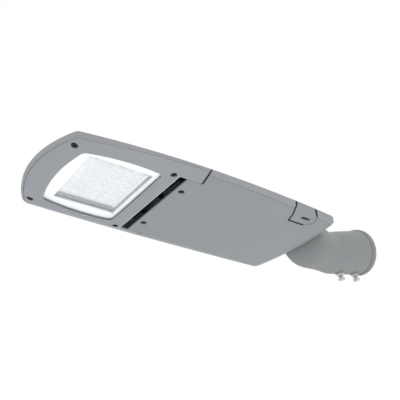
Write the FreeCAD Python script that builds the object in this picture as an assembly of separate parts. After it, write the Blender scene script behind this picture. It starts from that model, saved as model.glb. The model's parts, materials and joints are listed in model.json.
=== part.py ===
import FreeCAD, Part
import math
import os

# LED street light head. All sizes in millimetres.
# Lamp frame: X runs from the nose to the pole socket, Z up, z = 0 is the flat underside,
# x = 0 is the rear edge of the window. At the end every piece is moved so that the
# origin is the centre of the pole socket's mouth.

V = FreeCAD.Vector
UP = V(0, 0, 1)

# Housing outline in plan
nose_x = -154.0
nose_corner_x = -128.5
nose_corner_half = 98.0
widest_x = 70.0
half_width = 111.3
side_front_x = -131.0
side_front_in = 16.3
side_rear_x = 268.0
side_rear_in = 9.5
rear_x = 298.0
rear_bow = 9.0
rear_half = 95.0
nose_corner_r = 8.0
rear_corner_r = 16.0

# Underside: a flat belly with straight sides, flat slopes around it, then an upright
# rim band whose top edge is level all round
rim_z = 11.0
belly_half = half_width - 22.8
belly_nose_in = 13.8
belly_rear_in = 12.5
slope_run = 27.5

# Crown of the housing: each row is height above the rim, then how far the outline
# has moved in at the sides, nose and rear, and the two corner radii there
crown_rows = [
    (0.0, 0.0, 0.0, 0.0, 8.0, 16.0),
    (2.0, 3.2, 3.4, 0.4, 8.0, 16.0),
    (12.0, 19.0, 22.0, 3.0, 12.0, 16.0),
    (24.0, 34.5, 45.0, 6.0, 18.0, 17.0),
    (35.0, 54.0, 76.0, 11.0, 24.0, 20.0),
    (42.0, 70.0, 112.0, 18.0, 24.0, 20.0),
    (46.0, 84.0, 150.0, 30.0, 20.0, 18.0),
]
wall = 2.6
skin = 2.6
seam = 0.5
seat_t = 2.5

# Window
window_half = 77.2
window_bow = 79.4
window_front_x = -109.0
window_front_half = 69.6
window_apex_x = -118.5
window_r = 8.0
lip_t = 1.8
glass_lap = 4.0
glass_t = 3.2
gasket_lap = 0.5
gasket_side = 2.0

# LED engine, heights above the underside
mask_z = 6.1
mask_t = 0.8
mask_open_front = -98.0
mask_open_rear = -5.0
mask_open_half = 61.0
board_t = 1.6
board_z = 16.6
lens_t = 2.0
chip_t = 1.0
chip_size = 3.5
lens_columns = 6
lens_rows = 8
lens_pitch = 14.0
lens_r = 5.2
lens_rise = 2.6
rail_w = 5.0
sink_floor_t = 3.8
fin_t = 2.6
fin_pitch = 11.0
fin_count = 16

# Bezel and slot
bezel_rear_x = 20.4
slot_w = 12.4
tab_half = half_width - 24.3
tab_rear_x = 54.5
rim_side = 2.2
rim_nose = 3.5
cup_r = 4.8
cup_depth = 3.4
boss_wall = 2.3
bezel_screws_at = [(-125.0, 77.5), (11.5, 86.0)]
screw_r = 2.5
screw_head_r = 4.0
screw_head_t = 2.4
pillar_r = 5.0
rib_pitch = 30.0
rib_t = 3.0
web_at = [-75.0, 0.0, 75.0]
web_z = 16.0

# Door and its hinge
door_front_x = bezel_rear_x + slot_w
door_inset = 8.0
hinge_x = 34.6
hinge_z = 10.0
hinge_pin_r = 2.0
hinge_curl_r = 3.6
hinge_at = 54.0
leaf_half = 9.0
leaf_t = 2.0
lug_t = 4.0
door_screw_x = 42.6
door_cup = 3.2
door_rib_x = [85.0, 125.0, 165.0]
door_rib_y = [-40.0, 0.0, 40.0]
fit = 0.05
gap = 0.3
tapped_r = 1.5

# Gear bay
bay_front_x = 53.0
bay_rear_x = 200.0
bay_wall = 3.0
wall_foot_z = 5.5

# Latch on the near side; its plan is a band that slants forward to the rim
latch_front_x = 219.6
latch_bend_x = 208.0
latch_out_x = 198.0
latch_mid_x = 248.0
latch_rear_x = 256.5
latch_rear_out_x = 231.0
latch_inner = half_width - 38.3
latch_bend = half_width - 8.3
latch_t = 3.0
latch_r = 2.6
latch_pin_r = 1.2
latch_crack = 1.2
latch_lug = 5.0
latch_corner = 6.0
latch_round = 8.0
latch_turn_x = 252.0
latch_turn = half_width - 14.9
catch_x = 240.0
catch_y = half_width - 24.3
catch_z = 15.0
catch_t = 0.8
catch_half = 6.0
tongue_t = 2.0
tongue_y = catch_y + 6.5
grip_x = 237.5
grip_y = half_width - 24.6
grip_r = 3.0
grip_half = 5.5

# Gear in the bay
driver_x0 = 66.0
driver_x1 = 188.0
driver_half = 31.0
driver_z0 = 12.0
driver_z1 = 43.0
driver_foot = 8.0
driver_foot_t = 2.0
driver_screw_y = 22.0
terminal_x = 165.0
terminal_y = 58.0
terminal_z = 28.0
surge_x = 110.0
surge_y = -58.0
surge_z = 28.0
gland_y = 62.0
gland_z = 20.0
gland_r = 8.0
breather_y = -66.0
breather_z = 21.0
breather_r = 4.0

# Spigot and its pivot
pivot_x = 277.0
pivot_z = 26.0
spigot_tilt = 14.0
knuckle_r = 15.0
knuckle_half = 44.0
pivot_bolt_r = 4.0
socket_drop = 35.1
socket_reach = 157.2
socket_r = 38.9
socket_flare = 0.054
round_from = 78.0
bore_r = 31.0
bore_len = 80.0
end_band = 8.0
band_step = 0.9
ear_t = 8.0
ear_out = knuckle_half + 1 + ear_t
washer_t = 1.6
clamp_at = [27.0, 62.5]
clamp_bolt_r = 3.0
clamp_flats = 10.0
clamp_head_t = 4.2
clamp_nut_t = 5.0


def block(x0, x1, y0, y1, z0, z1):
    return Part.makeBox(x1 - x0, y1 - y0, z1 - z0, V(x0, y0, z0))


def rod(start, direction, r, length):
    return Part.makeCylinder(r, length, start, direction)


def hexagon(start, direction, across, length):
    """Hexagonal prism with the given size across its flats."""
    r = across / math.sqrt(3)
    points = []
    for i in range(7):
        a = math.radians(60 * i)
        points.append(V(r * math.cos(a), r * math.sin(a), 0))
    body = Part.Face(Part.makePolygon(points)).extrude(V(0, 0, length))
    chamfer = Part.makeCone(r + length * 1.2, across / 2 * 0.96, length + 0.001)
    body = body.common(chamfer)
    body.Placement = FreeCAD.Placement(start, FreeCAD.Rotation(UP, direction))
    return body


def both_sides(shape):
    return [shape, shape.mirror(V(0, 0, 0), V(0, 1, 0))]


def circle_through(p, q, r):
    """Centre and radius of the circle through three plan points."""
    a = 2 * (q[0] - p[0])
    b = 2 * (q[1] - p[1])
    c = 2 * (r[0] - p[0])
    d = 2 * (r[1] - p[1])
    e = q[0] ** 2 - p[0] ** 2 + q[1] ** 2 - p[1] ** 2
    f = r[0] ** 2 - p[0] ** 2 + r[1] ** 2 - p[1] ** 2
    det = a * d - b * c
    x = (e * d - b * f) / det
    y = (a * f - e * c) / det
    return x, y, math.hypot(p[0] - x, p[1] - y)


def shrunk(circle, amount):
    return circle[0], circle[1], circle[2] - amount


def on_circle(circle, point):
    dx = point[0] - circle[0]
    dy = point[1] - circle[1]
    d = math.hypot(dx, dy)
    return circle[0] + dx / d * circle[2], circle[1] + dy / d * circle[2]


def meet(a, b, leftmost):
    """The left or right of the two points where circles a and b cross."""
    dx = b[0] - a[0]
    dy = b[1] - a[1]
    d = math.hypot(dx, dy)
    along = (a[2] ** 2 - b[2] ** 2 + d * d) / (2 * d)
    half = math.sqrt(a[2] ** 2 - along ** 2)
    mx = a[0] + along * dx / d
    my = a[1] + along * dy / d
    first = (mx - half * dy / d, my + half * dx / d)
    second = (mx + half * dy / d, my - half * dx / d)
    return min(first, second) if leftmost else max(first, second)


def middle(p, q):
    return (p[0] + q[0]) / 2, (p[1] + q[1]) / 2


def outline_wire(front, side_f, side_r, rear, r_front, r_rear, z):
    """Closed plan outline mirrored about y = 0, with round corners. Its side is two arcs
    that meet at their common topmost point."""
    f = meet(shrunk(front, r_front), shrunk(side_f, r_front), True)
    r = meet(shrunk(rear, r_rear), shrunk(side_r, r_rear), False)
    corner_f = (f[0], f[1], r_front)
    corner_r = (r[0], r[1], r_rear)
    a = on_circle(front, f)
    b = on_circle(side_f, f)
    top = (side_f[0], side_f[1] + side_f[2])
    c = on_circle(side_r, r)
    d = on_circle(rear, r)
    stops = [a, on_circle(corner_f, middle(a, b)), b, on_circle(side_f, middle(b, top)), top,
             on_circle(side_r, middle(top, c)), c, on_circle(corner_r, middle(c, d)), d]
    nose = (front[0] - front[2], 0.0)
    tail = (rear[0] + rear[2], 0.0)
    lower = [(p[0], -p[1]) for p in reversed(stops)]
    edges = [arc((a[0], -a[1]), nose, a, z)]
    for i in range(0, len(stops) - 1, 2):
        edges.append(arc(stops[i], stops[i + 1], stops[i + 2], z))
    edges.append(arc(d, tail, (d[0], -d[1]), z))
    for i in range(0, len(lower) - 1, 2):
        edges.append(arc(lower[i], lower[i + 1], lower[i + 2], z))
    return Part.Wire(edges)


def arc(p, q, r, z):
    return Part.Arc(V(p[0], p[1], z), V(q[0], q[1], z), V(r[0], r[1], z)).toShape()


NOSE = circle_through((nose_corner_x, -nose_corner_half), (nose_x, 0.0),
                      (nose_corner_x, nose_corner_half))


def side_circle(x, drop):
    """Circle whose topmost point is the widest one, and which is drop lower at x."""
    run = x - widest_x
    r = (run ** 2 + drop ** 2) / (2 * drop)
    return widest_x, half_width - r, r


SIDE_FRONT = side_circle(side_front_x, side_front_in)
SIDE_REAR = side_circle(side_rear_x, side_rear_in)
TAIL = circle_through((rear_x - rear_bow, -rear_half), (rear_x, 0.0),
                      (rear_x - rear_bow, rear_half))


def housing_wire(side, nose, rear, r_front, r_rear, z):
    return outline_wire(shrunk(NOSE, nose), shrunk(SIDE_FRONT, side), shrunk(SIDE_REAR, side),
                        shrunk(TAIL, rear), r_front, r_rear, z)


def slope_cone(circle, inset, z):
    """Cone whose foot is the flat belly's end and whose side is the slope there."""
    r = circle[2] - inset
    return Part.makeCone(r, r + slope_run, rim_z, V(circle[0], circle[1], z))


def slope_wedge(z):
    """Long body between the two flat side slopes."""
    points = [V(-500, -belly_half, z), V(-500, belly_half, z),
              V(-500, belly_half + slope_run, z + rim_z),
              V(-500, -belly_half - slope_run, z + rim_z), V(-500, -belly_half, z)]
    return Part.Face(Part.makePolygon(points)).extrude(V(1000, 0, 0))


bay_half = belly_half - 7.8
HULLS = {}


def prism(wire, z1):
    z0 = wire.Vertexes[0].Z
    return Part.Face(wire).extrude(V(0, 0, z1 - z0))


def lower_hull(shift):
    """The underside up to the rim's height: belly, slopes and upright rim band."""
    if shift not in HULLS:
        band = prism(housing_wire(shift, shift, shift, nose_corner_r, rear_corner_r, -1.0), rim_z)
        dish = band.common(slope_wedge(shift))
        nose = slope_cone(NOSE, belly_nose_in, shift)
        nose = nose.fuse(block(NOSE[0], 2 * rear_x, -200, 200, shift, shift + rim_z))
        dish = dish.common(nose)
        HULLS[shift] = dish.common(slope_cone(TAIL, belly_rear_in, shift))
    return HULLS[shift]


def crown(shift):
    """The crowned top from the rim up; shift moves the whole surface inwards."""
    wires = []
    for up, side, nose, rear, r_front, r_rear in crown_rows:
        z = rim_z + up - (shift if up > wall else 0.0)
        k = 0.45 if up > wall else 1.0
        wires.append(housing_wire(side + shift * k, nose + shift * k, rear + shift,
                                  r_front, r_rear, z))
    return Part.makeLoft(wires, True, False)


def window_wire(grow, z):
    front = circle_through((window_front_x, -window_front_half), (window_apex_x, 0.0),
                           (window_front_x, window_front_half))
    side = circle_through((window_front_x, window_front_half),
                          (window_front_x / 2, window_bow), (0.0, window_half))
    rear = circle_through((-0.4, -window_half), (0.0, 0.0), (-0.4, window_half))
    r = window_r + grow
    side = shrunk(side, -grow)
    return outline_wire(shrunk(front, -grow), side, side, shrunk(rear, -grow), r, r, z)


def window_ring(outer, inner, z0, z1):
    return prism(window_wire(outer, z0), z1).cut(prism(window_wire(inner, z0), z1))


def screw_spots():
    spots = []
    for x, y in bezel_screws_at:
        spots.append((x, y))
        spots.append((x, -y))
    return spots


def pan_screw(x, y, z_head, head_r, head_t, shank_r, z_tip, up=True):
    """Pan head screw with a hexagon socket; the head is at z_head, the tip at z_tip."""
    direction = UP if up else V(0, 0, -1)
    head = rod(V(x, y, z_head), direction, head_r, head_t)
    shank = rod(V(x, y, z_head), direction, shank_r, abs(z_tip - z_head))
    socket = hexagon(V(x, y, z_head), direction, head_r, head_t * 0.6)
    return head.fuse(shank).cut(socket)


OUTER = lower_hull(0.0).fuse(crown(0.0))
CROWN = crown(0.0)
glass_z = lip_t + gasket_lap
glass_top = glass_z + glass_t
gasket_out = glass_lap + gasket_side
sink_z = board_z + board_t
sink_top = sink_z + sink_floor_t
lens_z = board_z - chip_t - lens_t
engine_x = (mask_open_front + mask_open_rear) / 2
pad_rear_x = 15.0
pad_front_x = nose_corner_x + 5.0
pad_half = half_width - 20.0


def top_housing():
    shell = CROWN.cut(crown(wall))
    rim_front = lower_hull(0.0).cut(prism(housing_wire(rim_side, rim_nose, 0.0, nose_corner_r,
                                                       rear_corner_r, -1.0), rim_z))
    rim_front = rim_front.common(block(nose_x - 1, tab_rear_x + 2, -200, 200, -1, rim_z))
    rim_rear = lower_hull(0.0).cut(prism(housing_wire(door_inset, 0.0, -20.0, nose_corner_r,
                                                      1.0, -1.0), rim_z))
    rim_rear = rim_rear.common(block(tab_rear_x + 2, rear_x + 1, -200, 200, -1, rim_z))
    seat = prism(housing_wire(0.0, 0.0, 0.0, nose_corner_r, rear_corner_r, rim_z), rim_z + seat_t)
    seat = seat.cut(prism(housing_wire(door_inset + 3.0, rim_nose + 3.0, wall, nose_corner_r,
                                       rear_corner_r, rim_z - 1), rim_z + 3))
    seat = seat.common(CROWN)
    shell = shell.fuse([seat, rim_front, rim_rear])
    shell = shell.fuse(engine_block().fuse(gear_bay_walls()))
    shell = shell.fuse(bosses() + slot_ribs() + ears() + hinge_lugs())
    shell = shell.cut(fin_pocket())
    shell = shell.fuse(fins())
    cuts = [knuckle_room(), latch_notch(), tongue_room()]
    for x, y in rail_screw_spots():
        cuts.append(rod(V(x, y, sink_z - 1), UP, tapped_r, 3.5))
    for y in (-1, 1):
        cuts.append(rod(V(pivot_x, y * (knuckle_half - 2), pivot_z), V(0, y, 0),
                        pivot_bolt_r + gap, 20))
    for x, y in screw_spots():
        cuts.append(rod(V(x, y, -1), UP, screw_r, 15.5))
    for y in (-hinge_at, hinge_at):
        cuts.append(rod(V(hinge_x, y - 20, hinge_z), V(0, 1, 0), hinge_pin_r, 40))
    cuts.append(rod(V(bay_rear_x - 10, gland_y, gland_z), V(1, 0, 0), gland_r, 20))
    cuts.append(rod(V(bay_front_x + 10, breather_y, breather_z), V(-1, 0, 0), breather_r, 20))
    for x, y, z in all_tapped():
        cuts.append(rod(V(x, y, z - 1), UP, tapped_r, 9))
    cuts.append(rod(V(catch_x, -catch_y, catch_z - 1), UP, tapped_r, 8))
    return shell.cut(cuts)


def engine_block():
    """Heat sink: floor over the LED board, the ring that clamps the glass, and end walls."""
    pad = block(pad_front_x, pad_rear_x, -pad_half, pad_half, sink_z, 80).common(CROWN)
    ring = window_ring(gasket_out + 0.5, gasket_out - 2.5, glass_top + gasket_lap, sink_z + 0.5)
    rear = block(pad_rear_x - 3, pad_rear_x, -pad_half, pad_half, glass_top, sink_z + 0.5)
    return pad.fuse([ring, rear.common(CROWN)])


def fin_pocket():
    return block(pad_front_x + 12, pad_rear_x - 3, -pad_half - 20, pad_half + 20, sink_top, 90)


def fins():
    """Upright cooling fins that follow the crown of the housing."""
    plates = []
    for i in range(fin_count):
        y = (i - (fin_count - 1) / 2) * fin_pitch
        plate = block(pad_front_x + 11, pad_rear_x - 2, y - fin_t / 2, y + fin_t / 2,
                      sink_top - 1, 90)
        plates.append(plate.common(CROWN))
    return plates


def gear_bay_walls():
    outer = block(bay_front_x, bay_rear_x, -bay_half, bay_half, wall_foot_z, 90)
    inner = block(bay_front_x + bay_wall, bay_rear_x - bay_wall, -bay_half + bay_wall,
                  bay_half - bay_wall, wall_foot_z - 1, 91)
    return outer.cut(inner).common(lower_hull(0.0).fuse(CROWN))


def hang(x, y, r, z):
    """A round boss that hangs from the crown down to height z."""
    return rod(V(x, y, z), UP, r, 80).common(OUTER)


def bosses():
    pillars = []
    for x, y in screw_spots():
        pillars.append(hang(x, y, pillar_r, cup_depth + boss_wall + 0.2))
    for x, y, z in all_tapped():
        pillars.append(hang(x, y, 4.0, z))
    pillars.append(hang(catch_x, -catch_y, 4.5, catch_z))
    return pillars


def slot_ribs():
    """Webs across the cooling slot, from the heat sink's rear wall to the gear bay."""
    ribs = []
    half = rib_t / 2
    for i in range(6):
        y = (i - 2.5) * rib_pitch
        ribs.append(block(pad_rear_x - 1, bezel_rear_x + 1.0, y - half, y + half, 5.0, 80))
    for y in web_at:
        ribs.append(block(pad_rear_x - 1, bay_front_x + 1, y - half, y + half, web_z, 80))
    return [rib.common(OUTER) for rib in ribs]


def ears():
    """Two ears that carry the pivot bolt on both sides of the knuckle."""
    disc = rod(V(pivot_x, knuckle_half + 1, pivot_z), V(0, 1, 0), knuckle_r - 1, ear_t)
    web = block(pivot_x - 13, pivot_x + 13, knuckle_half + 1, knuckle_half + 1 + ear_t,
                pivot_z, 80)
    ear = disc.fuse(web).common(OUTER)
    return both_sides(ear)


def hinge_lugs():
    """Lugs in front of the gear bay that hold the door's hinge pins."""
    lugs = []
    for y in (-hinge_at, hinge_at):
        for side in (-1, 1):
            mid = y + side * (leaf_half + gap + lug_t / 2)
            y0 = mid - lug_t / 2
            y1 = mid + lug_t / 2
            eye = rod(V(hinge_x, y0, hinge_z), V(0, 1, 0), hinge_curl_r, lug_t)
            arm = block(hinge_x, bay_front_x + 1, y0, y1, hinge_z - 2.0, hinge_z + hinge_curl_r)
            lugs.append(eye.fuse(arm))
    return lugs


def knuckle_room():
    """Room for the knuckle between the ears, open through the rear wall."""
    side = knuckle_half + 1
    room = block(pivot_x - knuckle_r - 2, rear_x + 10, -side, side, 0, pivot_z + knuckle_r + 1.5)
    mouth = block(pivot_x + 12, rear_x + 10, -side - 4, side + 4, rim_z - 1, 47.0)
    return room.fuse(mouth)


def latch_wire(grow, z):
    """Plan of the latch lever: a band slanting forward to the rim, one rounded corner."""
    inner = latch_inner - latch_r - grow
    out = half_width + 5
    corner = inner + latch_corner
    points = [
        V(latch_out_x - grow, -out, z),
        V(latch_bend_x - grow, -latch_bend, z),
        V(latch_front_x - grow, -inner, z),
        V(latch_mid_x + grow, -inner, z),
        V(latch_mid_x + grow, -corner, z),
    ]
    edges = [Part.LineSegment(p, q).toShape() for p, q in zip(points, points[1:])]
    last = points[-1]
    end = V(latch_rear_x + grow, -corner - latch_round, z)
    bend = math.sqrt(0.5)
    mid = V(last.x + (end.x - last.x) * bend, last.y + (end.y - last.y) * (1 - bend), z)
    edges.append(Part.Arc(last, mid, end).toShape())
    turn = V(latch_turn_x + grow, -latch_turn, z)
    rim = V(latch_rear_out_x + grow, -out, z)
    edges.append(Part.LineSegment(end, turn).toShape())
    edges.append(Part.LineSegment(turn, rim).toShape())
    edges.append(Part.LineSegment(rim, points[0]).toShape())
    return Part.Wire(edges)


def latch_notch():
    return prism(latch_wire(latch_crack, -1.0), rim_z + 0.6)


def tongue_room():
    return block(catch_x - catch_half - 1, catch_x + catch_half + 1, -tongue_y - tongue_t - 5, -tongue_y + 3, rim_z - 1,
                 rim_z + seat_t + gap)


def latch_lever():
    plate = lower_hull(0.0).cut(lower_hull(latch_t)).common(prism(latch_wire(0.0, -1.0), rim_z))
    barrel = rod(V(latch_front_x, -latch_inner, latch_r), V(1, 0, 0), latch_r,
                 latch_mid_x - latch_front_x)
    trim = block(latch_front_x - 1, latch_rear_x + 1, -latch_inner, 0, -1, 20)
    lever = plate.cut(trim).fuse(barrel)
    tongue = block(catch_x - catch_half, catch_x + catch_half, -tongue_y - tongue_t, -tongue_y,
                   5.0, 12.5)
    grip = rod(V(grip_x - grip_half, -grip_y, -1), UP, grip_r, 12)
    grip = grip.fuse([rod(V(grip_x + grip_half, -grip_y, -1), UP, grip_r, 12),
                      block(grip_x - grip_half, grip_x + grip_half, -grip_y - grip_r,
                            -grip_y + grip_r, -1, 11)])
    pin = rod(V(latch_front_x - 20, -latch_inner, latch_r), V(1, 0, 0), latch_pin_r + fit, 60)
    return lever.fuse(tongue).cut([grip, pin])


def latch_pin():
    over = latch_crack + latch_lug
    return rod(V(latch_front_x - over, -latch_inner, latch_r), V(1, 0, 0), latch_pin_r,
               latch_mid_x - latch_front_x + 2 * over)


def latch_catch():
    """Bent spring clip whose leg rests beside the lever's tongue."""
    out = tongue_y - gap
    x0 = catch_x - catch_half
    x1 = catch_x + catch_half
    top = block(x0, x1, -out, -catch_y + 5, catch_z - catch_t, catch_z)
    leg = block(x0, x1, -out, -out + catch_t, 8.0, catch_z)
    hole = rod(V(catch_x, -catch_y, catch_z - 2), UP, 1.7, 4)
    return top.fuse(leg).cut(hole)


def catch_screw():
    return pan_screw(catch_x, -catch_y, catch_z - catch_t - 2.0, 3.0, 2.0, tapped_r, catch_z + 6)


def front_bezel():
    frame = lower_hull(0.0).cut(lower_hull(skin))
    plan = prism(housing_wire(rim_side + seam, rim_nose + seam, 0.0, nose_corner_r,
                              rear_corner_r, -1.0), rim_z - 0.2)
    front = block(nose_x - 1, bezel_rear_x, -200, 200, -1, rim_z)
    tabs = block(bezel_rear_x - 1, tab_rear_x, tab_half, 200, -1, rim_z)
    region = front.fuse(both_sides(tabs)).common(plan)
    frame = frame.common(region)
    inside = window_ring(gasket_out + 2.0, gasket_out + 0.1, skin - 0.6, glass_top - 0.3)
    tubs = []
    cups = []
    for x, y in screw_spots():
        tub = rod(V(x, y, 0), UP, cup_r + boss_wall, cup_depth + boss_wall)
        tubs.append(tub.common(lower_hull(0.0)).common(plan))
        cups.append(rod(V(x, y, -1), UP, cup_r, cup_depth + 1))
        cups.append(rod(V(x, y, -1), UP, screw_r + gap, 20))
        cups.append(rod(V(x, y, cup_depth + boss_wall), UP, pillar_r + gap, 20))
    frame = frame.fuse([inside] + tubs)
    aperture = Part.makeLoft([window_wire(0.8, -0.01), window_wire(0.0, lip_t + 1)], True, True)
    room = prism(window_wire(gasket_out, lip_t), 30)
    return frame.cut([aperture, room] + cups)


def bezel_screws():
    z = cup_depth - screw_head_t
    return [pan_screw(x, y, z, screw_head_r, screw_head_t, screw_r, 14.0)
            for x, y in screw_spots()]


def window_glass():
    return prism(window_wire(glass_lap, glass_z), glass_top)


def glass_gasket():
    """Channel of silicone rubber round the edge of the glass."""
    body = window_ring(gasket_out, glass_lap - 3.0, lip_t, glass_top + gasket_lap)
    return body.cut(prism(window_wire(glass_lap, glass_z), glass_top))


def reflector_mask():
    sheet = prism(window_wire(gasket_out - 2.8, mask_z), mask_z + mask_t)
    opening = block(mask_open_front, mask_open_rear, -mask_open_half, mask_open_half, 0, 30)
    return sheet.cut(opening)


def chip_spots():
    spots = []
    for i in range(lens_columns):
        for j in range(lens_rows):
            x = engine_x + (i - (lens_columns - 1) / 2) * lens_pitch
            y = (j - (lens_rows - 1) / 2) * lens_pitch
            spots.append((x, y))
    return spots


lens_half_x = lens_columns * lens_pitch / 2 + 1.5
lens_half_y = lens_rows * lens_pitch / 2 + 1.0


def lens_plate():
    """Moulded plate with a dome under each LED and a rim that stands on the board."""
    plate = block(engine_x - lens_half_x, engine_x + lens_half_x, -lens_half_y, lens_half_y,
                  lens_z, board_z)
    pocket = block(engine_x - lens_half_x + 2, engine_x + lens_half_x - 2, -lens_half_y + 2,
                   lens_half_y - 2, lens_z + lens_t, board_z + 1)
    ball_r = (lens_r ** 2 + lens_rise ** 2) / (2 * lens_rise)
    domes = []
    for x, y in chip_spots():
        ball = Part.makeSphere(ball_r, V(x, y, lens_z - lens_rise + ball_r))
        domes.append(ball.common(block(x - 7, x + 7, y - 7, y + 7, lens_z - 5, lens_z + 0.5)))
    return plate.cut(pocket).fuse(domes)


def led_board():
    margin = 5.0
    board = block(engine_x - lens_half_x - margin, engine_x + lens_half_x + margin,
                  -lens_half_y - rail_w - 2, lens_half_y + rail_w + 2, board_z, sink_z)
    holes = [rod(V(x, y, board_z - 1), UP, 1.7, board_t + 2) for x, y in rail_screw_spots()]
    return board.cut(holes)


def led_chips():
    half = chip_size / 2
    return [block(x - half, x + half, y - half, y + half, board_z - chip_t, board_z)
            for x, y in chip_spots()]


def rail_screw_spots():
    return [(engine_x + dx, side * (lens_half_y + 0.2 + rail_w / 2))
            for dx in (-36.0, 0.0, 36.0) for side in (-1, 1)]


def lens_clamp_rails():
    z0 = mask_z + mask_t
    y0 = lens_half_y + 0.2
    rail = block(engine_x - lens_half_x, engine_x + lens_half_x, y0, y0 + rail_w, z0, board_z)
    lip = block(engine_x - lens_half_x, engine_x + lens_half_x, y0 - 1.2, y0 + 1, lens_z - 1.6,
                lens_z)
    rails = []
    for shape in both_sides(rail.fuse(lip)):
        for x, y in rail_screw_spots():
            shape = shape.cut(rod(V(x, y, z0 - 1), UP, 1.6, 12))
            shape = shape.cut(rod(V(x, y, z0 - 1), UP, 2.0, 3.0))
        rails.append(shape)
    return rails


def module_screws():
    z0 = mask_z + mask_t
    return [pan_screw(x, y, z0 + 0.3, 1.95, 1.7, 1.5, sink_z + 2.5) for x, y in rail_screw_spots()]


def gear_door():
    tray = lower_hull(0.0).cut(lower_hull(skin))
    rear = prism(housing_wire(door_inset + seam, 0.0, 0.0, nose_corner_r, 8.0, -1.0), rim_z - 0.1)
    rear = rear.common(block(tab_rear_x + 2.4, rear_x + 1, -200, 200, -1, rim_z))
    front = block(door_front_x, tab_rear_x + 3, -tab_half + 0.6, tab_half - 0.6, -1, rim_z)
    door = tray.common(rear.fuse(front))
    ribs = []
    for x in door_rib_x:
        ribs.append(block(x - 1, x + 1, -bay_half + 9, bay_half - 9, skin - 0.5, 5.0))
    for y in door_rib_y:
        ribs.append(block(62, bay_rear_x - 10, y - 1, y + 1, skin - 0.5, 5.0))
    for x in (latch_front_x - 2 * latch_crack - latch_lug, latch_mid_x + latch_crack):
        ribs.append(block(x, x + latch_lug, -latch_inner - latch_pin_r - 0.8, -latch_inner + 6, 0.5,
                          2 * latch_r + 1.2))
    tubs = []
    cuts = [latch_notch()]
    for y in (-hinge_at, hinge_at):
        tubs.append(rod(V(door_screw_x, y, 0), UP, cup_r + 1.2, door_cup + boss_wall))
        cuts.append(rod(V(door_screw_x, y, -1), UP, cup_r, door_cup + 1))
        cuts.append(rod(V(door_screw_x, y, -1), UP, screw_r + gap, 20))
    door = door.fuse(tubs).cut(cuts).fuse(ribs)
    return door.cut(latch_pin())


def door_gasket():
    outer = block(bay_front_x - 1, bay_rear_x + 1, -bay_half - 1, bay_half + 1, skin + 0.25,
                  wall_foot_z)
    inner = block(bay_front_x + 4, bay_rear_x - 4, -bay_half + 4, bay_half - 4, 0, 20)
    return outer.cut(inner)


def hinge_leaves():
    z0 = door_cup + boss_wall
    leaves = []
    for y in (-hinge_at, hinge_at):
        leaf = block(hinge_x, door_screw_x + 9, y - leaf_half, y + leaf_half, z0, z0 + leaf_t)
        curl = rod(V(hinge_x, y - leaf_half, hinge_z), V(0, 1, 0), hinge_curl_r, 2 * leaf_half)
        eye = rod(V(hinge_x, y - 20, hinge_z), V(0, 1, 0), hinge_pin_r + fit, 40)
        hole = rod(V(door_screw_x, y, 0), UP, screw_r, 20)
        leaves.append(leaf.fuse(curl).cut([eye, hole]))
    return leaves


def hinge_pins():
    half = leaf_half + gap + lug_t
    return [rod(V(hinge_x, y - half, hinge_z), V(0, 1, 0), hinge_pin_r, 2 * half)
            for y in (-hinge_at, hinge_at)]


def hinge_screws():
    z = door_cup - screw_head_t
    return [pan_screw(door_screw_x, y, z, screw_head_r, screw_head_t, screw_r, 12.0)
            for y in (-hinge_at, hinge_at)]


def driver_spots():
    return [(driver_x0 - driver_foot / 2, y, driver_z1) for y in (-driver_screw_y, driver_screw_y)] + [
        (driver_x1 + driver_foot / 2, y, driver_z1) for y in (-driver_screw_y, driver_screw_y)]


def side_spots():
    return [(terminal_x - 20, terminal_y, terminal_z), (terminal_x + 20, terminal_y, terminal_z),
            (surge_x - 26, surge_y, surge_z), (surge_x + 26, surge_y, surge_z)]


def all_tapped():
    return driver_spots() + side_spots()


def led_driver():
    """Sealed power supply with a rounded case, two feet and lead exits."""
    case = block(driver_x0, driver_x1, -driver_half, driver_half, driver_z0, driver_z1)
    case = case.makeFillet(3.0, [e for e in case.Edges if abs(e.tangentAt(0).x) > 0.9])
    feet = block(driver_x0 - driver_foot, driver_x1 + driver_foot, -driver_half + 2,
                 driver_half - 2, driver_z1 - driver_foot_t, driver_z1)
    for x, y, z in driver_spots():
        feet = feet.cut(rod(V(x, y, z - 5), UP, 1.9, 10))
    glands = []
    for x, way in ((driver_x0, -1), (driver_x1, 1)):
        glands.append(rod(V(x, 0, 24.0), V(way, 0, 0), 4.0, 4.0))
    return case.fuse([feet] + glands)


def driver_screws():
    return [pan_screw(x, y, z - driver_foot_t - 2.0, 3.2, 2.0, tapped_r, z + 7)
            for x, y, z in driver_spots()]


def terminal_block():
    """Three-way screw terminal with wire entries at the front."""
    body = block(terminal_x - 15, terminal_x + 15, terminal_y - 9, terminal_y + 9,
                 terminal_z - 16, terminal_z)
    foot = block(terminal_x - 24, terminal_x + 24, terminal_y - 6, terminal_y + 6,
                 terminal_z - 3, terminal_z)
    cuts = []
    for i in (-1, 0, 1):
        x = terminal_x + i * 9.5
        cuts.append(rod(V(x, terminal_y - 2, terminal_z - 17), UP, 2.6, 5))
        cuts.append(block(x - 3, x + 3, terminal_y + 4, terminal_y + 10, terminal_z - 12,
                          terminal_z - 6))
    for x in (terminal_x - 20, terminal_x + 20):
        cuts.append(rod(V(x, terminal_y, terminal_z - 10), UP, 1.9, 20))
    return body.fuse(foot).cut(cuts)


def surge_protector():
    body = block(surge_x - 20, surge_x + 20, surge_y - 12, surge_y + 12, surge_z - 18, surge_z)
    body = body.makeFillet(2.0, [e for e in body.Edges if abs(e.tangentAt(0).z) > 0.9])
    foot = block(surge_x - 31, surge_x + 31, surge_y - 6, surge_y + 6, surge_z - 3, surge_z)
    for x in (surge_x - 26, surge_x + 26):
        foot = foot.cut(rod(V(x, surge_y, surge_z - 10), UP, 1.9, 20))
    return body.fuse(foot)


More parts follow.
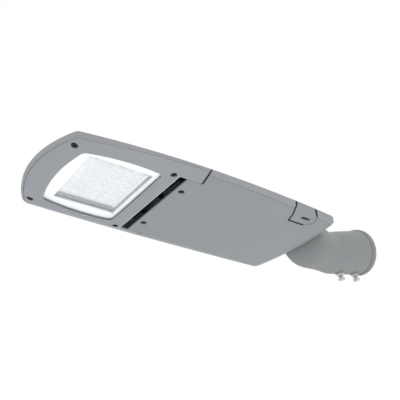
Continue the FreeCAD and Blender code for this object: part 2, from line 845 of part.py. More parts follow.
def side_screws():
    return [pan_screw(x, y, z - 3.0 - 2.0, 3.2, 2.0, tapped_r, z + 7) for x, y, z in side_spots()]


def cable_gland():
    """Cable gland through the rear wall of the gear bay, dome nut to the rear."""
    axis = V(1, 0, 0)
    start = V(bay_rear_x - 11, gland_y, gland_z)
    thread = rod(start, axis, gland_r - 0.1, 12)
    flange = hexagon(V(bay_rear_x, gland_y, gland_z), axis, 20.0, 5.0)
    dome = Part.makeCone(9.0, 6.5, 12.0, V(bay_rear_x + 5, gland_y, gland_z), axis)
    bore = rod(V(bay_rear_x - 12, gland_y, gland_z), axis, 4.5, 40)
    return thread.fuse([flange, dome]).cut(bore)


def gland_nut():
    face = bay_rear_x - bay_wall
    ring = hexagon(V(face, gland_y, gland_z), V(-1, 0, 0), 20.0, 4.5)
    return ring.cut(rod(V(face - 10, gland_y, gland_z), V(1, 0, 0), gland_r, 20))


def breather_valve():
    """Vent plug that lets the gear bay breathe, in its front wall."""
    axis = V(-1, 0, 0)
    stem = rod(V(bay_front_x + bay_wall + 2, breather_y, breather_z), axis, breather_r - 0.1, 6)
    cap = rod(V(bay_front_x, breather_y, breather_z), axis, 6.5, 4.0)
    return stem.fuse(cap)


def tilted(shape):
    """Turns a shape made in the spigot's own frame to the spigot's tilt at the pivot."""
    shape.rotate(V(0, 0, 0), V(0, 1, 0), -spigot_tilt)
    shape.translate(V(pivot_x, 0, pivot_z))
    return shape


def section(x, half, low, high, power):
    """Closed smooth section at x: a superellipse; power 2 is round, more is squarer."""
    centre = (low + high) / 2
    rise = (high - low) / 2
    points = []
    count = 28
    for i in range(count):
        t = 2 * math.pi * i / count
        c = math.cos(t)
        s = math.sin(t)
        y = half * math.copysign(abs(c) ** (2 / power), c)
        z = rise * math.copysign(abs(s) ** (2 / power), s)
        points.append(V(x, y, centre + z))
    curve = Part.BSplineCurve()
    curve.interpolate(Points=points, PeriodicFlag=True)
    return Part.Wire(curve.toShape())


def socket_radius(x):
    return socket_r - socket_flare * (socket_reach - x)


def round_section(x):
    r = socket_radius(x)
    return section(x, r, -socket_drop - r, -socket_drop + r, 2.0)


def round_stations():
    """Evenly spaced places of the round sections, up to the end band."""
    last = socket_reach - end_band
    return [round_from + (last - round_from) * i / 4 for i in range(5)]


def spigot():
    """Cast arm: knuckle, fishtail neck and pole socket in one piece."""
    neck = Part.makeLoft([
        section(4.0, knuckle_half - 1, -9.0, 12.0, 4.0),
        section(21.8, knuckle_half + 1.6, -12.0, 12.5, 3.4),
        section(34.6, knuckle_half + 0.8, -47.5, 9.0, 2.8),
        section(54.0, knuckle_half - 4, -59.0, 2.5, 2.4),
    ] + [round_section(x) for x in round_stations()], True, False)
    knuckle = rod(V(0, -knuckle_half, 0), V(0, 1, 0), knuckle_r, 2 * knuckle_half)
    axis = V(1, 0, 0)
    band = rod(V(socket_reach - end_band - 1, 0, -socket_drop), axis, socket_r + band_step,
               end_band + 1)
    band = band.makeFillet(2.2, [e for e in band.Edges
                                 if abs(e.BoundBox.XMin - socket_reach) < 0.01
                                 and abs(e.BoundBox.XMax - socket_reach) < 0.01])
    body = neck.fuse([knuckle, band] + clamp_pads())
    cuts = [rod(V(socket_reach - bore_len, 0, -socket_drop), axis, bore_r, bore_len + 1)]
    cuts.append(Part.makeCone(10.0, bore_r, 12.0,
                              V(socket_reach - bore_len - 12, 0, -socket_drop), axis))
    cuts.append(rod(V(0, -knuckle_half - 1, 0), V(0, 1, 0), pivot_bolt_r + fit,
                    2 * knuckle_half + 2))
    cuts.append(block(-20, 30, -8, 8, 6.5, 20))
    start = V(20, 0, 4)
    way = V(socket_reach - bore_len, 0, -socket_drop).sub(start)
    cuts.append(rod(start, way, 7.5, way.Length))
    for reach in clamp_at:
        cuts.append(rod(V(socket_reach - reach, 0, -socket_drop), V(0, 0, -1), clamp_bolt_r, 60))
    return tilted(body.cut(cuts))


def clamp_seat(reach):
    return -socket_drop - socket_radius(socket_reach - reach) - 1.2


def clamp_pads():
    pads = []
    for reach in clamp_at:
        z = clamp_seat(reach)
        pads.append(rod(V(socket_reach - reach, 0, z), UP, clamp_flats * 0.8, 6))
    return pads


def clamp_bolts():
    """Hexagon bolts screwed up through the socket's wall, tips flush with the bore."""
    bolts = []
    for reach in clamp_at:
        x = socket_reach - reach
        seat = clamp_seat(reach)
        tip = -socket_drop - bore_r - 0.3
        head_z = seat - clamp_nut_t - 3.0
        shank = rod(V(x, 0, head_z), UP, clamp_bolt_r, tip - head_z)
        head = hexagon(V(x, 0, head_z), V(0, 0, -1), clamp_flats, clamp_head_t)
        bolts.append(tilted(shank.fuse(head)))
    return bolts


def clamp_nuts():
    nuts = []
    for reach in clamp_at:
        x = socket_reach - reach
        seat = clamp_seat(reach)
        nut = hexagon(V(x, 0, seat), V(0, 0, -1), clamp_flats, clamp_nut_t)
        nuts.append(tilted(nut.cut(rod(V(x, 0, seat - 10), UP, clamp_bolt_r, 20))))
    return nuts


def pivot_bolt():
    axis = V(0, 1, 0)
    start = -ear_out - washer_t
    shank = rod(V(pivot_x, start, pivot_z), axis, pivot_bolt_r, 2 * (ear_out + washer_t) + 8)
    head = hexagon(V(pivot_x, start, pivot_z), V(0, -1, 0), 13.0, 5.3)
    return shank.fuse(head)


def pivot_nut():
    face = ear_out + washer_t
    nut = hexagon(V(pivot_x, face, pivot_z), V(0, 1, 0), 13.0, 6.5)
    return nut.cut(rod(V(pivot_x, face - 1, pivot_z), V(0, 1, 0), pivot_bolt_r, 20))


def pivot_washers():
    washer = rod(V(pivot_x, ear_out, pivot_z), V(0, 1, 0), 7.5, washer_t)
    washer = washer.cut(rod(V(pivot_x, ear_out - 1, pivot_z), V(0, 1, 0), pivot_bolt_r, 10))
    return both_sides(washer)


NODES = [
    top_housing, front_bezel, window_glass, glass_gasket, reflector_mask, lens_plate,
    led_board, led_chips, lens_clamp_rails, module_screws, bezel_screws, gear_door,
    door_gasket, hinge_leaves, hinge_pins, hinge_screws, latch_lever, latch_pin,
    latch_catch, catch_screw, led_driver, driver_screws, terminal_block, surge_protector,
    side_screws, cable_gland, gland_nut, breather_valve, spigot, pivot_bolt, pivot_nut,
    pivot_washers, clamp_bolts, clamp_nuts,
]


def mouth_centre():
    a = math.radians(spigot_tilt)
    x = pivot_x + socket_reach * math.cos(a) + socket_drop * math.sin(a)
    z = pivot_z + socket_reach * math.sin(a) - socket_drop * math.cos(a)
    return V(x, 0, z)


def main():
    os.makedirs("parts", exist_ok=True)
    shift = mouth_centre().negative()
    for maker in NODES:
        made = maker()
        shape = Part.makeCompound(made) if isinstance(made, list) else made
        shape.translate(shift)
        shape.exportStep("parts/" + maker.__name__ + ".step")
        print(maker.__name__, len(shape.Solids), "solids, volume", round(shape.Volume),
              "valid", shape.isValid())


main()
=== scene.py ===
# %% [markdown]
# An LED street light head, seen from below as it hangs over a road.
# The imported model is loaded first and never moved: it gives the true place of every piece,
# and everything made here is fitted to it. Working this way round keeps sizes honest,
# because a finish or an added detail can always be checked against the solid it sits on.

# %% Load the fixed model
import json
import math
import bmesh
import bpy
from mathutils import Matrix, Vector


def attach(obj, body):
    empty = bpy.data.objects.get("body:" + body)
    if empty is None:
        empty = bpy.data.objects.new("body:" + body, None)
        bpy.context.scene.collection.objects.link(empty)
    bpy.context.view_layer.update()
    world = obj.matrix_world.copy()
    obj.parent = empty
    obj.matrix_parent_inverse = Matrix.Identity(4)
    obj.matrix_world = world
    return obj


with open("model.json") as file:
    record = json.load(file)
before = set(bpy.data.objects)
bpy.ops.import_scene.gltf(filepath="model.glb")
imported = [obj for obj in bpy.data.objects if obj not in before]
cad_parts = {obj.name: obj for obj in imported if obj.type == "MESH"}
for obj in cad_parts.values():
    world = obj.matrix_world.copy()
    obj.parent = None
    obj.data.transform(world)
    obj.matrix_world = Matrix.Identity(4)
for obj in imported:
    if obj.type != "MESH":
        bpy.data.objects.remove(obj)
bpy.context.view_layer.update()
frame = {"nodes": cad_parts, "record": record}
nodes = frame["nodes"]

# %% [markdown]
# The lamp's own drawing measures from the window's rear edge, with z = 0 on the flat
# underside. The model's origin is the mouth of the pole socket instead, so one small
# helper turns drawing millimetres into scene metres. Using it everywhere avoids
# long decimal numbers in the code.

# %% A helper for places on the lamp
MM = 0.001
MOUTH_X = 438.02
MOUTH_Z = 29.97


def lamp(x, y, z):
    return Vector(((x - MOUTH_X) * MM, y * MM, (z - MOUTH_Z) * MM))


print("window's rear edge", tuple(round(v, 4) for v in lamp(0, 0, 0)))

# %% [markdown]
# The camera stands in front of the nose, to one side and well below, and looks up.
# Its place, turn and lens were worked out from the outline, the screws and the window
# corners. A camera is turned most safely by tracking a direction, because a quaternion
# from a look direction has no hidden order of rotations.

# %% Camera at the photograph's angle
TURN = math.radians(32.92)
RISE = math.radians(29.67)
FOCAL_PX = 650.1
IMAGE_PX = 400
SENSOR_MM = 36.0

look = Vector((math.sin(TURN) * math.cos(RISE), math.cos(TURN) * math.cos(RISE),
               math.sin(RISE)))
camera_data = bpy.data.cameras.new("camera")
camera_data.sensor_width = SENSOR_MM
camera_data.lens = SENSOR_MM * FOCAL_PX / IMAGE_PX
camera_data.shift_y = 0.5 / IMAGE_PX
camera_data.clip_start = 0.05
camera_data.clip_end = 50
camera = bpy.data.objects.new("camera", camera_data)
camera.location = lamp(-354.3, -714.5, -452.0)
camera.rotation_mode = "QUATERNION"
camera.rotation_quaternion = look.to_track_quat("-Z", "Y")
bpy.context.scene.collection.objects.link(camera)
bpy.context.scene.camera = camera
print("lens", round(camera_data.lens, 2), "mm")

# %% [markdown]
# The picture has a plain white ground. The world lights the lamp at a plain level, and
# only rays from the camera, or seen in metal and glass, find pure white. That keeps the
# paint's colour true, because the white ground adds no light of its own to it.

# %% A world that lights plainly and shows white
AMBIENT = 0.85
AMBIENT_TINT = (0.97, 0.985, 1.0, 1)
WHITE = (1, 1, 1, 1)

world = bpy.data.worlds.new("studio")
bpy.context.scene.world = world
world.use_nodes = True
tree = world.node_tree
tree.nodes.clear()
path = tree.nodes.new("ShaderNodeLightPath")
light = tree.nodes.new("ShaderNodeBackground")
light.inputs["Color"].default_value = AMBIENT_TINT
light.inputs["Strength"].default_value = AMBIENT
white = tree.nodes.new("ShaderNodeBackground")
white.inputs["Color"].default_value = WHITE
white.inputs["Strength"].default_value = 1.0
seen = tree.nodes.new("ShaderNodeMath")
seen.operation = "MAXIMUM"
seen_all = tree.nodes.new("ShaderNodeMath")
seen_all.operation = "MAXIMUM"
mix = tree.nodes.new("ShaderNodeMixShader")
out = tree.nodes.new("ShaderNodeOutputWorld")
tree.links.new(path.outputs["Is Camera Ray"], seen.inputs[0])
tree.links.new(path.outputs["Is Glossy Ray"], seen.inputs[1])
tree.links.new(seen.outputs[0], seen_all.inputs[0])
tree.links.new(path.outputs["Is Transmission Ray"], seen_all.inputs[1])
tree.links.new(seen_all.outputs[0], mix.inputs[0])
tree.links.new(light.outputs[0], mix.inputs[1])
tree.links.new(white.outputs[0], mix.inputs[2])
tree.links.new(mix.outputs[0], out.inputs["Surface"])
print("ambient", AMBIENT)

# %% [markdown]
# The lamp head hangs high over a pale floor. Two wide, weak lamps stand near the floor
# and shine up, because the side that the photograph shows looks down. Wide lamps give
# shadows with soft edges, and a disk that is larger than the lamp head gives almost none.

# %% Floor and soft lamps
FLOOR_Z = -1.05
FLOOR_HALF = 4.0
PAPER = (0.86, 0.86, 0.86, 1)
LAMP_COLOUR = (1.0, 0.995, 0.985)


def floor_plane():
    """A pale floor far below the lamp, like the ground under a studio stand."""
    mesh = bpy.data.meshes.new("floor")
    corners = [(-FLOOR_HALF, -FLOOR_HALF, FLOOR_Z), (FLOOR_HALF, -FLOOR_HALF, FLOOR_Z),
               (FLOOR_HALF, FLOOR_HALF, FLOOR_Z), (-FLOOR_HALF, FLOOR_HALF, FLOOR_Z)]
    mesh.from_pydata(corners, [], [(0, 1, 2, 3)])
    floor = bpy.data.objects.new("floor", mesh)
    bpy.context.scene.collection.objects.link(floor)
    material = bpy.data.materials.new("floor_paper")
    material.use_nodes = True
    paper = material.node_tree.nodes["Principled BSDF"]
    paper.inputs["Base Color"].default_value = PAPER
    paper.inputs["Roughness"].default_value = 0.9
    mesh.materials.append(material)


def soft_lamp(name, place, aim, size, watts):
    data = bpy.data.lights.new(name, "AREA")
    data.shape = "DISK"
    data.size = size
    data.energy = watts
    data.color = LAMP_COLOUR
    lamp_object = bpy.data.objects.new(name, data)
    lamp_object.location = place
    lamp_object.rotation_mode = "QUATERNION"
    lamp_object.rotation_quaternion = (Vector(aim) - Vector(place)).to_track_quat("-Z", "Y")
    bpy.context.scene.collection.objects.link(lamp_object)


floor_plane()
soft_lamp("under_near", (-0.5, -0.5, -1.0), (-0.15, 0, 0), 1.5, 3.2)
soft_lamp("under_rear", (0.5, 0.2, -1.0), (-0.1, 0, 0), 1.2, 2.6)
print("floor at", FLOOR_Z, "lamps", len(bpy.data.lights))

# %% [markdown]
# Every material here is a tree of nodes. Three small helpers keep the trees readable:
# one starts a node group with named sockets, one adds a noise, and one adds a sum. The
# last two take plain numbers or other nodes' outputs, so a formula reads as it is written.

# %% Helpers for node trees
def new_group(name, inputs, outputs):
    group = bpy.data.node_groups.new(name, "ShaderNodeTree")
    for socket, kind, value in inputs:
        made = group.interface.new_socket(name=socket, in_out="INPUT", socket_type=kind)
        made.default_value = value
    for socket, kind in outputs:
        group.interface.new_socket(name=socket, in_out="OUTPUT", socket_type=kind)
    return group


def noise(tree, vector, scale, detail):
    node = tree.nodes.new("ShaderNodeTexNoise")
    node.inputs["Detail"].default_value = detail
    tree.links.new(vector, node.inputs["Vector"])
    if isinstance(scale, (int, float)):
        node.inputs["Scale"].default_value = scale
    else:
        tree.links.new(scale, node.inputs["Scale"])
    return node.outputs["Fac"]


def math_node(tree, operation, a, b):
    node = tree.nodes.new("ShaderNodeMath")
    node.operation = operation
    for socket, value in ((node.inputs[0], a), (node.inputs[1], b)):
        if isinstance(value, (int, float)):
            socket.default_value = value
        else:
            tree.links.new(value, socket)
    return node.outputs[0]


print("helpers for groups, noise and sums")

# %% [markdown]
# Powder coat is paint baked from dry powder. Close up it is a fine, even orange peel with
# tiny light and dark specks and soft clouds. All grey castings share it, so it is one
# node group with named inputs, placed in each material with its own values. The group
# gives a height and two masks, and the shader itself stays in the material, where the
# export can read it.

# %% Node group for the coat's grain
PEEL_SCALE = 1400.0
CLOUD_SCALE = 7.0
FINE_SCALE_RATIO = 2.6
FINE_SHARE = 0.45


def coat_group():
    """Object coordinates in; orange peel height, fine specks and soft clouding out."""
    group = new_group("powder_coat", [("Grain Scale", "NodeSocketFloat", PEEL_SCALE),
                                      ("Cloud Scale", "NodeSocketFloat", CLOUD_SCALE)],
                      [("Height", "NodeSocketFloat"), ("Specks", "NodeSocketFloat"),
                       ("Clouds", "NodeSocketFloat")])
    source = group.nodes.new("NodeGroupInput")
    result = group.nodes.new("NodeGroupOutput")
    place = group.nodes.new("ShaderNodeTexCoord").outputs["Object"]
    peel = noise(group, place, source.outputs["Grain Scale"], 2.0)
    fine_scale = math_node(group, "MULTIPLY", source.outputs["Grain Scale"],
                           FINE_SCALE_RATIO)
    fine = noise(group, place, fine_scale, 1.0)
    clouds = noise(group, place, source.outputs["Cloud Scale"], 3.0)
    height = math_node(group, "ADD", peel, math_node(group, "MULTIPLY", fine, FINE_SHARE))
    group.links.new(height, result.inputs["Height"])
    group.links.new(fine, result.inputs["Specks"])
    group.links.new(clouds, result.inputs["Clouds"])
    return group


COAT = coat_group()
print("group", COAT.name, "sockets", len(COAT.interface.items_tree))

# %% [markdown]
# A tone read off a screen isn't the number that a shader takes, because a screen brightens
# dark values. So one helper turns screen steps from 0 to 255 into linear light. The others
# start a material, mix two colours by a mask, and stretch a mask's range.

# %% Helpers for colours
NOISE_LOW = 0.35
NOISE_HIGH = 0.65


def principled(name):
    material = bpy.data.materials.new(name)
    material.use_nodes = True
    return material, material.node_tree, material.node_tree.nodes["Principled BSDF"]


def srgb(r, g, b):
    """A screen colour from 0 to 255 as the linear colour that a shader takes."""
    def linear(c):
        c /= 255
        return c / 12.92 if c <= 0.04045 else ((c + 0.055) / 1.055) ** 2.4
    return linear(r), linear(g), linear(b), 1.0


def blend_colours(tree, factor, a, b):
    node = tree.nodes.new("ShaderNodeMix")
    node.data_type = "RGBA"
    node.inputs["A"].default_value = a
    node.inputs["B"].default_value = b
    tree.links.new(factor, node.inputs["Factor"])
    return node.outputs["Result"]


def stretched(tree, value, low, high, to_low, to_high):
    node = tree.nodes.new("ShaderNodeMapRange")
    node.inputs["From Min"].default_value = low
    node.inputs["From Max"].default_value = high
    node.inputs["To Min"].default_value = to_low
    node.inputs["To Max"].default_value = to_high
    tree.links.new(value, node.inputs["Value"])
    return node.outputs["Result"]


print("mid grey 128 as linear light", round(srgb(128, 128, 128)[0], 3))

# %% [markdown]
# Some marks lie at a known place on the lamp, such as an edge or the inside of the slot.
# A mask for such a place is a few comparisons of the object coordinates, which stay with
# the piece when it moves or the camera does. The comparison itself is a group, because
# several marks in several materials use it.

# %% A band mask on the object's own axes
def band_group():
    """1 where Value lies between Low and High, 0 elsewhere: for edges and lines."""
    group = new_group("band", [("Value", "NodeSocketFloat", 0.0),
                               ("Low", "NodeSocketFloat", 0.0),
                               ("High", "NodeSocketFloat", 1.0)],
                      [("Mask", "NodeSocketFloat")])
    source = group.nodes.new("NodeGroupInput")
    result = group.nodes.new("NodeGroupOutput")
    above = math_node(group, "GREATER_THAN", source.outputs["Value"], source.outputs["Low"])
    below = math_node(group, "LESS_THAN", source.outputs["Value"], source.outputs["High"])
    group.links.new(math_node(group, "MULTIPLY", above, below), result.inputs["Mask"])
    return group


BAND = band_group()


def in_band(tree, value, low, high):
    node = tree.nodes.new("ShaderNodeGroup")
    node.node_tree = BAND
    tree.links.new(value, node.inputs["Value"])
    node.inputs["Low"].default_value = low
    node.inputs["High"].default_value = high
    return node.outputs["Mask"]


def object_axes(tree):
    place = tree.nodes.new("ShaderNodeSeparateXYZ")
    tree.links.new(tree.nodes.new("ShaderNodeTexCoord").outputs["Object"], place.inputs[0])
    return place.outputs


print("group", BAND.name, "sockets", len(BAND.interface.items_tree))

# %% [markdown]
# Three kinds of painted light are laid on the castings. Deep in the cooling slot the housing
# gets a painted shade, a near-black tone for the shade in that deep hollow. The bezel's
# rounded edge along that slot gets a painted highlight, a pale tone for the light it catches.
# And where two castings meet in a crack, as round the latch lever, their rounded edges get a
# painted shade where they fall into shade. The cracks themselves are real gaps in the model,
# and the marks only tone their edges.

# %% Painted light: shade in the slot, highlight on its edge, shade in the cracks
SLOT_FRONT = 14.0
SLOT_REAR = 44.0
SLOT_HALF = 88.0
SLOT_LOW = 4.0
SLOT_HIGH = 46.0
SLOT_ROOF_FALL = 0.25
LIP_FRONT = 19.2
LIP_REAR = 20.6
SEAM_SHADE = 1.3
SEAM_LOW = -1.0
SEAM_TOP = 12.0
LATCH_FRONT = [(197.4, -116.0), (207.4, -103.0), (219.0, -70.0)]
LATCH_INNER = [(219.0, -69.8), (247.0, -69.8)]
LATCH_REAR = [(252.6, -97.0), (231.6, -114.0)]
TAB_END = [(54.8, -87.0), (54.8, -114.0)]


def slot_lip_highlight(tree):
    """1 on the bezel's rounded edge along the cooling slot: a painted highlight for the light it
    catches.
    """
    x, y, _ = object_axes(tree)
    edge = in_band(tree, x, lamp(LIP_FRONT, 0, 0).x, lamp(LIP_REAR, 0, 0).x)
    return math_node(tree, "MULTIPLY", edge, in_band(tree, y, -SLOT_HALF * MM, SLOT_HALF * MM))


def seam_line(start, end, width=SEAM_SHADE):
    """A mask maker: 1 within width of the line between two places on the underside, where
    the cast edges round off into a crack and fall into shade; a painted shade darkens them
    there."""
    a, b = lamp(*start, 0), lamp(*end, 0)
    run = (b - a).normalized()
    length = (b - a).length

    def mask_of(tree):
        x, y, z = object_axes(tree)
        dx = math_node(tree, "SUBTRACT", x, a.x)
        dy = math_node(tree, "SUBTRACT", y, a.y)
        along = math_node(tree, "ADD", math_node(tree, "MULTIPLY", dx, run.x),
                          math_node(tree, "MULTIPLY", dy, run.y))
        off = math_node(tree, "SUBTRACT", math_node(tree, "MULTIPLY", dx, -run.y),
                        math_node(tree, "MULTIPLY", dy, -run.x))
        beside = in_band(tree, off, -width * MM, width * MM)
        low = in_band(tree, z, lamp(0, 0, SEAM_LOW).z, lamp(0, 0, SEAM_TOP).z)
        return math_node(tree, "MULTIPLY", math_node(tree, "MULTIPLY", beside, low),
                         in_band(tree, along, 0.0, length))
    return mask_of


def near_side(tree):
    """1 on the rail on the near side, at negative y, which is coloured white; the far rail keeps
    the grey coat.
    """
    return math_node(tree, "LESS_THAN", object_axes(tree)["Y"], 0.0)


def slot_shade_mask(tree):
    """1 in the hollow above the cooling slot, where the coat gets a painted shade,
    0 elsewhere, from the object coordinates.
    """
    x, y, z = object_axes(tree)
    mask = in_band(tree, x, lamp(SLOT_FRONT, 0, 0).x, lamp(SLOT_REAR, 0, 0).x)
    side = math_node(tree, "ABSOLUTE", y, 0.0)
    inner = math_node(tree, "LESS_THAN", side, SLOT_HALF * MM)
    floor = math_node(tree, "GREATER_THAN", z, lamp(0, 0, SLOT_LOW).z)
    roof = math_node(tree, "ADD", z, math_node(tree, "MULTIPLY", side, SLOT_ROOF_FALL))
    under = math_node(tree, "LESS_THAN", roof, lamp(0, 0, SLOT_HIGH).z)
    for part in (inner, floor, under):
        mask = math_node(tree, "MULTIPLY", mask, part)
    return mask


CRACKS = [LATCH_FRONT[:2], LATCH_FRONT[1:], LATCH_INNER, LATCH_REAR, TAB_END]
print("shaded cracks", len(CRACKS))

# %% [markdown]
# Each grey casting gets its own tone of the coat: in the photograph the bezel is slightly
# bluer and lighter than the gear door, and the spigot is the plainest grey. The tone is
# mixed from the group's specks and clouds within a narrow band, so that it never reads as
# a flat fill, and the height feeds a Bump node with a very small distance.

# %% Powder coat for each casting
SLOT_SHADE_TONE = (30, 30, 31)
LIP_HIGHLIGHT_TONE = (206, 210, 214)
CRACK_SHADE_TONE = (48, 50, 56)
RAIL_WHITE = (240, 243, 245)
SPECK_SHARE = 0.6
CLOUD_SHARE = 0.4
COAT_BUMP = 0.00003
COAT_ROUGHNESS = (0.46, 0.56)


def over(tree, colour, tone, mask):
    """A second tone laid over a colour where the mask is 1."""
    node = tree.nodes.new("ShaderNodeMix")
    node.data_type = "RGBA"
    node.inputs["B"].default_value = srgb(*tone)
    tree.links.new(mask, node.inputs["Factor"])
    tree.links.new(colour, node.inputs["A"])
    return node.outputs["Result"]


def coat(name, tone, spread=5, marks=()):
    """Powder coat around one screen tone, varied by a few steps each way. Each mark is a
    mask and the tone that the coat has there, such as the painted shade deep in the slot."""
    material, tree, shader = principled(name)
    group = tree.nodes.new("ShaderNodeGroup")
    group.node_tree = COAT
    dark = srgb(*[c - spread for c in tone])
    pale = srgb(*[c + spread for c in tone])
    specks = math_node(tree, "MULTIPLY", group.outputs["Specks"], SPECK_SHARE)
    clouds = math_node(tree, "MULTIPLY", group.outputs["Clouds"], CLOUD_SHARE)
    mask = math_node(tree, "ADD", specks, clouds)
    mask = stretched(tree, mask, NOISE_LOW, NOISE_HIGH, 0.0, 1.0)
    colour = blend_colours(tree, mask, dark, pale)
    for mask_of, mark_tone in marks:
        colour = over(tree, colour, mark_tone, mask_of(tree))
    tree.links.new(colour, shader.inputs["Base Color"])
    rough = stretched(tree, group.outputs["Clouds"], 0.3, 0.7, *COAT_ROUGHNESS)
    tree.links.new(rough, shader.inputs["Roughness"])
    relief = tree.nodes.new("ShaderNodeBump")
    relief.inputs["Distance"].default_value = COAT_BUMP
    tree.links.new(group.outputs["Height"], relief.inputs["Height"])
    tree.links.new(relief.outputs["Normal"], shader.inputs["Normal"])
    return material


# Painted shade along each crack, where the rounded cast edges fall into shade.
seam_shades = [(seam_line(*ends), CRACK_SHADE_TONE) for ends in CRACKS]
materials = {
    # The housing gets a painted shade in the hollow above the cooling slot.
    "housing_coat": coat("housing_coat", (160, 161, 164),
                         marks=[(slot_shade_mask, SLOT_SHADE_TONE)] + seam_shades),
    # The bezel gets a painted highlight on its rounded edge along the slot.
    "bezel_coat": coat("bezel_coat", (162, 165, 170),
                       marks=[(slot_lip_highlight, LIP_HIGHLIGHT_TONE), seam_shades[-1]]),
    "door_coat": coat("door_coat", (153, 158, 160), marks=seam_shades),
    "spigot_coat": coat("spigot_coat", (147, 149, 150)),
    "rail_coat": coat("rail_coat", (146, 151, 157), 3, marks=[(near_side, RAIL_WHITE)]),
}
print("coats", sorted(materials))

# %% [markdown]
# The small materials share one recipe: a fine noise varies the colour and the roughness a
# little and gives a slight relief, so that none of them is a single flat value. Steel
# stretches the noise into fine turning marks. Clear glass is its own recipe, because it
# keeps a plain Metallic and Transmission Weight, which the export needs.

# %% Recipes for small materials and for glass
def simple(name, colour, roughness, metallic=0.0, grain=900.0, bump=0.00002, spread=0.08,
           stretch=(1, 1, 1), **sockets):
    """A material whose colour and roughness vary a little with a noise along the surface."""
    material, tree, shader = principled(name)
    place = tree.nodes.new("ShaderNodeTexCoord").outputs["Object"]
    mapping = tree.nodes.new("ShaderNodeMapping")
    mapping.inputs["Scale"].default_value = stretch
    tree.links.new(place, mapping.inputs["Vector"])
    value = noise(tree, mapping.outputs["Vector"], grain, 2.0)
    dark = [c * (1 - spread) for c in colour[:3]] + [1.0]
    pale = [min(1.0, c * (1 + spread)) for c in colour[:3]] + [1.0]
    mask = stretched(tree, value, NOISE_LOW, NOISE_HIGH, 0.0, 1.0)
    tree.links.new(blend_colours(tree, mask, dark, pale), shader.inputs["Base Color"])
    tree.links.new(stretched(tree, value, 0.3, 0.7, roughness * 0.85, roughness * 1.15),
                   shader.inputs["Roughness"])
    shader.inputs["Metallic"].default_value = metallic
    for socket, amount in sockets.items():
        shader.inputs[socket.replace("_", " ")].default_value = amount
    relief = tree.nodes.new("ShaderNodeBump")
    relief.inputs["Distance"].default_value = bump
    tree.links.new(value, relief.inputs["Height"])
    tree.links.new(relief.outputs["Normal"], shader.inputs["Normal"])
    return material


def clear_glass():
    material, _, shader = principled("clear_glass")
    shader.inputs["Base Color"].default_value = (0.97, 0.99, 1.0, 1)
    shader.inputs["Roughness"].default_value = 0.03
    shader.inputs["Transmission Weight"].default_value = 1.0
    shader.inputs["IOR"].default_value = 1.45
    shader.inputs["Alpha"].default_value = 0.3
    return material


materials["clear_glass"] = clear_glass()
print("glass", materials["clear_glass"].name)

# %% [markdown]
# The mask, the board and the lens stand behind the pane, which holds back some light. They
# look almost white, so each gets a painted glow, a little emission that stands in for the
# light falling on it through the pane, though none of them is a lamp. The screws and hinge
# parts look nearly black, and the clamp bolts are bright stainless steel.

# %% Plastics, rubber and metals
# Painted glow: an emission that lightens the white parts behind the pane.
PAINTED_GLOW = (0.96, 0.99, 1, 1)

materials.update({
    "seal_rubber": simple("seal_rubber", (0.02, 0.02, 0.022), 0.6),
    "grey_rubber": simple("grey_rubber", (0.30, 0.31, 0.33), 0.55),
    # Near-black oxide steel for the screws and hinge parts; its dark colour also stands in for
    # the shade in the screw cups and deep in the slot, so it is partly painted shade.
    "dark_steel": simple("dark_steel", (0.018, 0.018, 0.02), 0.5, 0.2),
    "white_mask": simple("white_mask", (0.92, 0.94, 0.95), 0.35, spread=0.02,
                         Emission_Color=PAINTED_GLOW, Emission_Strength=0.55),
    "lens_acrylic": simple("lens_acrylic", (0.88, 0.91, 0.91), 0.16, spread=0.02,
                           Coat_Weight=0.4, Emission_Color=PAINTED_GLOW,
                           Emission_Strength=0.27),
    "board_white": simple("board_white", (0.86, 0.88, 0.88), 0.4, spread=0.03,
                          Emission_Color=PAINTED_GLOW, Emission_Strength=0.3),
    "led_phosphor": simple("led_phosphor", (0.85, 0.66, 0.18), 0.35),
    "bright_steel": simple("bright_steel", (0.56, 0.56, 0.55), 0.28, 1.0, 700.0, 0.00002,
                           0.06, (1, 1, 8)),
    "driver_case": simple("driver_case", (0.55, 0.56, 0.57), 0.38, 1.0, 500.0, 0.00003,
                          0.05, (12, 1, 1)),
    "black_plastic": simple("black_plastic", (0.02, 0.02, 0.022), 0.42),
    "terminal_plastic": simple("terminal_plastic", (0.62, 0.64, 0.62), 0.4, spread=0.04),
    "surge_plastic": simple("surge_plastic", (0.32, 0.05, 0.045), 0.38),
})

slot_of = {part["node"]: part["material_slot"] for part in frame["record"]["subparts"]}
for name, piece in nodes.items():
    for place in piece.material_slots:
        place.material = materials[slot_of[name]]
print("dressed", len(slot_of), "nodes with", len(materials), "materials")

# %% [markdown]
# The clamp bolts show a few turns of thread between the nut and the head. A thread is a
# rule: one ridge, repeated at a fixed pitch. A Geometry Nodes tree makes it from three
# named inputs, so the same tree serves any bolt. It ends by making the copies real and
# giving them their material, because the export drops instances.

# %% A node tree for a short thread
THREAD_TURNS = 3
THREAD_PITCH = 1.0
THREAD_R = 3.0
RIDGE_SIDES = 40
RIDGE_CREST = 1.09
RIDGE_ROOT = 1.01
RIDGE_FILL = 0.96


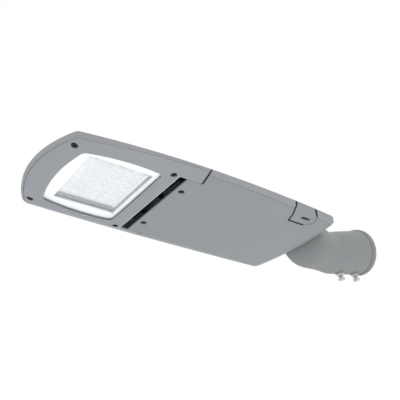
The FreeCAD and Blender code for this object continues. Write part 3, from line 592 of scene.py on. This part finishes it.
def thread_tree(material):
    """Ridges of radius Radius at every Pitch, Turns of them, upwards from the origin."""
    tree = bpy.data.node_groups.new("thread", "GeometryNodeTree")
    for name, kind in (("Turns", "NodeSocketInt"), ("Pitch", "NodeSocketFloat"),
                       ("Radius", "NodeSocketFloat")):
        tree.interface.new_socket(name=name, in_out="INPUT", socket_type=kind)
    tree.interface.new_socket(name="Geometry", in_out="OUTPUT", socket_type="NodeSocketGeometry")
    source = tree.nodes.new("NodeGroupInput")
    line = tree.nodes.new("GeometryNodeMeshLine")
    step = tree.nodes.new("ShaderNodeCombineXYZ")
    tree.links.new(source.outputs["Pitch"], step.inputs["Z"])
    tree.links.new(source.outputs["Turns"], line.inputs["Count"])
    tree.links.new(step.outputs[0], line.inputs["Offset"])
    ridge = tree.nodes.new("GeometryNodeMeshCone")
    ridge.inputs["Vertices"].default_value = RIDGE_SIDES
    wide = math_node(tree, "MULTIPLY", source.outputs["Radius"], RIDGE_CREST)
    root = math_node(tree, "MULTIPLY", source.outputs["Radius"], RIDGE_ROOT)
    tree.links.new(root, ridge.inputs["Radius Top"])
    tree.links.new(wide, ridge.inputs["Radius Bottom"])
    tree.links.new(math_node(tree, "MULTIPLY", source.outputs["Pitch"], RIDGE_FILL),
                   ridge.inputs["Depth"])
    stack = tree.nodes.new("GeometryNodeInstanceOnPoints")
    tree.links.new(line.outputs["Mesh"], stack.inputs["Points"])
    tree.links.new(ridge.outputs["Mesh"], stack.inputs["Instance"])
    real = tree.nodes.new("GeometryNodeRealizeInstances")
    paint = tree.nodes.new("GeometryNodeSetMaterial")
    paint.inputs["Material"].default_value = material
    result = tree.nodes.new("NodeGroupOutput")
    tree.links.new(stack.outputs[0], real.inputs[0])
    tree.links.new(real.outputs[0], paint.inputs["Geometry"])
    tree.links.new(paint.outputs[0], result.inputs["Geometry"])
    return tree


thread_rule = thread_tree(materials["bright_steel"])
print("tree", thread_rule.name, "nodes", len(thread_rule.nodes))

# %% [markdown]
# A tree does nothing until an object wears it as a modifier. A helper puts it on an empty
# mesh, sets the inputs by their identifiers before the first evaluation, and keeps only
# the plain mesh that comes out, so nothing live is left behind. So nothing live is left
# for the export to trip over.

# %% Run a tree once and keep its mesh
def grown(tree, values):
    """Runs a tree once with the given inputs and returns its mesh."""
    holder = bpy.data.objects.new("holder", bpy.data.meshes.new("holder"))
    bpy.context.scene.collection.objects.link(holder)
    modifier = holder.modifiers.new("tree", "NODES")
    modifier.node_group = tree
    for item in tree.interface.items_tree:
        if item.in_out == "INPUT" and item.name in values:
            modifier[item.identifier] = values[item.name]
    holder.update_tag()
    ready = holder.evaluated_get(bpy.context.evaluated_depsgraph_get())
    mesh = bpy.data.meshes.new_from_object(ready)
    bpy.data.objects.remove(holder)
    return mesh


thread_mesh = grown(thread_rule, {"Turns": THREAD_TURNS, "Pitch": THREAD_PITCH * MM,
                                  "Radius": THREAD_R * MM})
print("one thread", len(thread_mesh.polygons), "faces")

# %% [markdown]
# The two clamp bolts stand under the pole socket, square to its slanted axis. Their places
# follow from the tilt, the socket's radius with its slight flare, the pad and the nut. The
# thread is copied to each place into one mesh, which rides on the arm as the bolts do.

# %% Threads under the socket
SPIGOT_TILT = math.radians(14.0)
PIVOT = (277.0, 0.0, 26.0)
SOCKET_DROP = 35.1
SOCKET_REACH = 157.2
CLAMP_AT = (27.0, 62.5)
SOCKET_R = 38.9
SOCKET_FLARE = 0.054
PAD_RISE = 1.2
NUT_T = 5.0
BARE_SHANK = 3.0


def bolt_places():
    """Lowest point of each bolt's bare shank, turned with the spigot."""
    turn = Matrix.Rotation(-SPIGOT_TILT, 4, "Y")
    for reach in CLAMP_AT:
        x = SOCKET_REACH - reach
        seat = -SOCKET_DROP - (SOCKET_R - SOCKET_FLARE * reach) - PAD_RISE
        low = seat - NUT_T - BARE_SHANK
        spot = turn @ Vector((x, 0, low))
        yield Matrix.Translation(lamp(*(Vector(PIVOT) + spot))) @ turn


joined = bmesh.new()
for place in bolt_places():
    copy = thread_mesh.copy()
    copy.transform(place)
    joined.from_mesh(copy)
    bpy.data.meshes.remove(copy)
thread_mesh.clear_geometry()
joined.to_mesh(thread_mesh)
joined.free()
thread = bpy.data.objects.new("clamp_threads", thread_mesh)
bpy.context.scene.collection.objects.link(thread)
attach(thread, "arm")
print("threads", len(thread_mesh.polygons), "faces")

# %% Settings and the closing lines
bpy.context.scene.view_settings.view_transform = "Standard"
